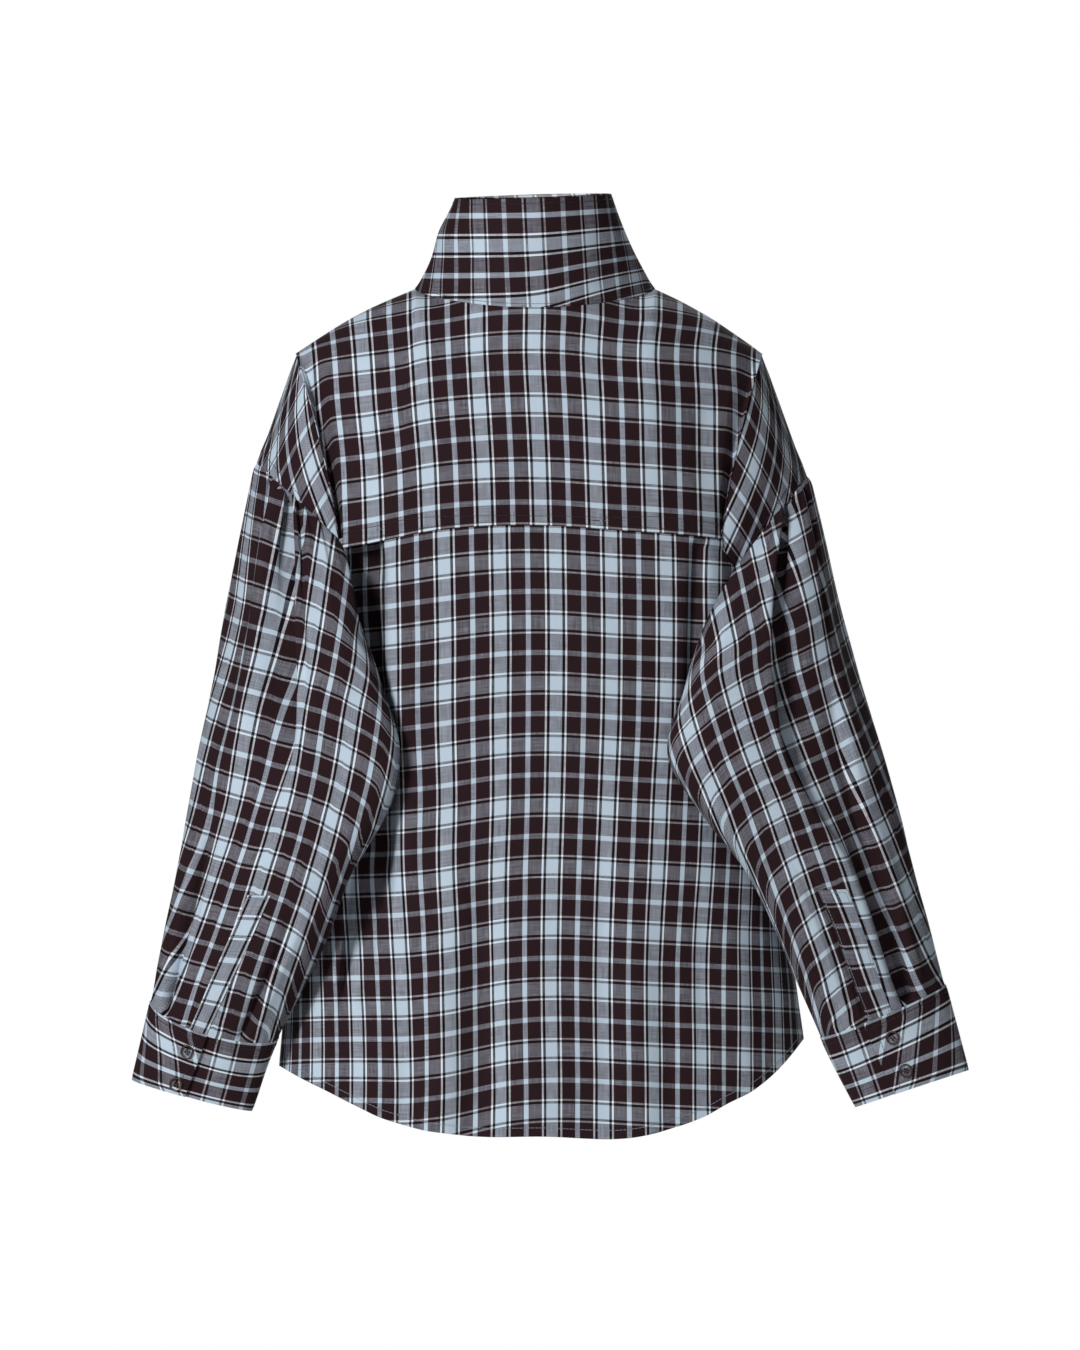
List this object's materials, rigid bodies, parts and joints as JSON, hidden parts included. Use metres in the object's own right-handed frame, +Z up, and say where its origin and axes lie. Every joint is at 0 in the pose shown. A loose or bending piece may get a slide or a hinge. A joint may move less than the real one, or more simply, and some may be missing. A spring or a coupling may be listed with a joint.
{
  "type": "wrap shirt",
  "caption": "Worn checked cotton shirt with a funnel collar, deep back yoke, shoulder caps, full gathered sleeves and buttoned cuffs.",
  "frame": {"origin": "centre of the neck seam, where the wearer's neck and shoulders hold the shirt up", "axes": "+Z up from the hem to the collar, +Y out of the front, the wearer's left at -X"},
  "size_m": [0.7097, 0.2488, 0.807],
  "materials": {
    "check_cotton": "matt yarn-dyed check in maroon, light blue, black and white",
    "button": "dark brown, satin"
  },
  "bodies": {
    "root": {"back_yoke": "check_cotton", "back_panel": "check_cotton", "front_over": "check_cotton", "front_under": "check_cotton", "collar": "check_cotton", "shoulder_cap_left": "check_cotton", "shoulder_cap_right": "check_cotton", "sleeve_left": "check_cotton", "sleeve_right": "check_cotton", "cuff_left": "check_cotton", "cuff_right": "check_cotton", "sleeve_placket_left": "check_cotton", "sleeve_placket_right": "check_cotton", "cuff_button_left_1": "button", "cuff_button_left_2": "button", "cuff_button_right_1": "button", "cuff_button_right_2": "button", "front_button_1": "button", "front_button_2": "button", "front_button_3": "button", "front_button_4": "button", "front_button_5": "button", "collar_button": "button"}
  },
  "joints": []
}
